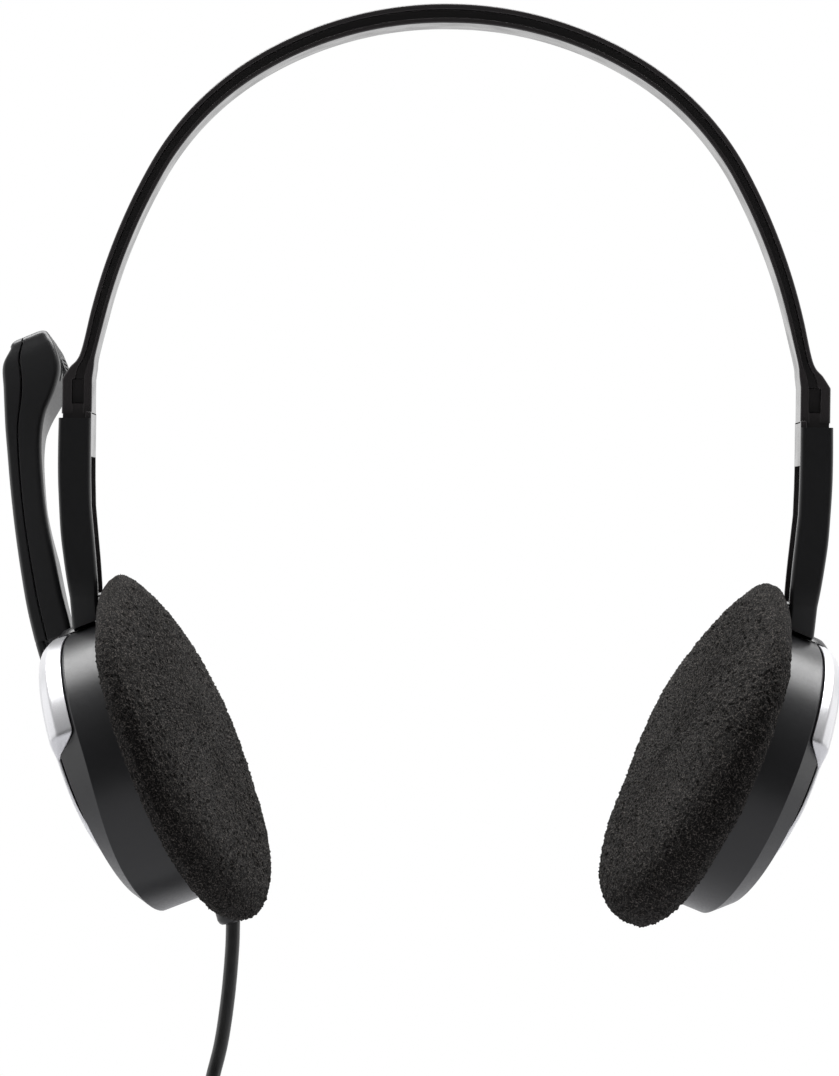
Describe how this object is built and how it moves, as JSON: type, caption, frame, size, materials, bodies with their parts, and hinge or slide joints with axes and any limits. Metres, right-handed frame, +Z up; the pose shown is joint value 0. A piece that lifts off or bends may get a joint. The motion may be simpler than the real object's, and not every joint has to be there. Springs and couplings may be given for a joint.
{
  "type": "on-ear headset",
  "caption": "Light on-ear headset: a narrow spring headband, sliding arms, tilting foam-padded cups with silver covers, a folded-up microphone boom and a coiled cord with an audio plug.",
  "frame": {"origin": "middle of the underside of the headband's crown, where it lies on the head", "axes": "+Z up, +X towards the right cup, +Y the way the wearer faces"},
  "size_m": [0.1474, 0.0614, 0.2896],
  "materials": {
    "black_shell": "satin",
    "silver_paint": "satin",
    "foam": "matte",
    "steel": "satin",
    "cord_rubber": "satin",
    "copper": "polished",
    "gold": "polished",
    "film": "gloss"
  },
  "bodies": {
    "band": {"headband": "black_shell", "crossover_wire": "cord_rubber", "left_slider_tongue": "steel", "right_slider_tongue": "steel"},
    "left_arm": {"left_arm_shell": "black_shell", "left_arm_inner_plate": "black_shell"},
    "left_swivel": {"left_swivel_stud": "steel"},
    "left_cup": {"left_cup_housing": "black_shell", "left_cup_cover": "silver_paint", "left_baffle": "black_shell", "left_cup_screw_1": "steel", "left_cup_screw_2": "steel", "left_cup_screw_3": "steel", "left_driver_frame": "black_shell", "left_driver_magnet": "steel", "left_voice_coil": "copper", "left_diaphragm": "film", "left_ball_seat": "black_shell", "left_ear_pad": "foam", "strain_relief": "cord_rubber", "cord": "cord_rubber", "cord_coil": "cord_rubber", "cord_tie": "cord_rubber", "cord_tail": "cord_rubber", "plug_body": "cord_rubber", "plug_pin": "gold"},
    "boom": {"boom_inner_shell": "black_shell", "boom_outer_shell": "black_shell", "microphone_capsule": "steel", "microphone_grille": "black_shell", "boom_pivot_washer": "steel", "boom_pivot_screw": "steel", "boom_friction_washer": "cord_rubber", "boom_hub_cap": "silver_paint"},
    "right_arm": {"right_arm_shell": "black_shell", "right_arm_inner_plate": "black_shell"},
    "right_swivel": {"right_swivel_stud": "steel"},
    "right_cup": {"right_cup_housing": "black_shell", "right_cup_cover": "silver_paint", "right_baffle": "black_shell", "right_cup_screw_1": "steel", "right_cup_screw_2": "steel", "right_cup_screw_3": "steel", "right_driver_frame": "black_shell", "right_driver_magnet": "steel", "right_voice_coil": "copper", "right_diaphragm": "film", "right_ball_seat": "black_shell", "right_ear_pad": "foam", "right_cover_disc": "silver_paint"}
  },
  "joints": [
    {"name": "left_slider", "type": "slide", "parent": "band", "child": "left_arm", "axis": [0.0384, 0, -0.9993], "range_m": [0, 0.018]},
    {"name": "right_slider", "type": "slide", "parent": "band", "child": "right_arm", "axis": [-0.0384, 0, -0.9993], "range_m": [0, 0.018]},
    {"name": "left_swivel_turn", "type": "hinge", "parent": "left_arm", "child": "left_swivel", "pos_m": [-0.0614, 0, -0.1101], "axis": [0, 0, 1], "range_deg": [0, 20]},
    {"name": "right_swivel_turn", "type": "hinge", "parent": "right_arm", "child": "right_swivel", "pos_m": [0.0614, 0, -0.1101], "axis": [0, 0, -1], "range_deg": [0, 20]},
    {"name": "left_cup_tilt", "type": "hinge", "parent": "left_swivel", "child": "left_cup", "pos_m": [-0.0614, 0, -0.1101], "axis": [0.1736, 0.9848, 0], "range_deg": [-3, 3]},
    {"name": "right_cup_tilt", "type": "hinge", "parent": "right_swivel", "child": "right_cup", "pos_m": [0.0614, 0, -0.1101], "axis": [0.1736, -0.9848, 0], "range_deg": [-3, 16]},
    {"name": "boom_turn", "type": "hinge", "parent": "left_cup", "child": "boom", "pos_m": [-0.04485, -0.00292, -0.12553], "axis": [-0.9131, 0.161, -0.3746], "range_deg": [0, 125]}
  ]
}
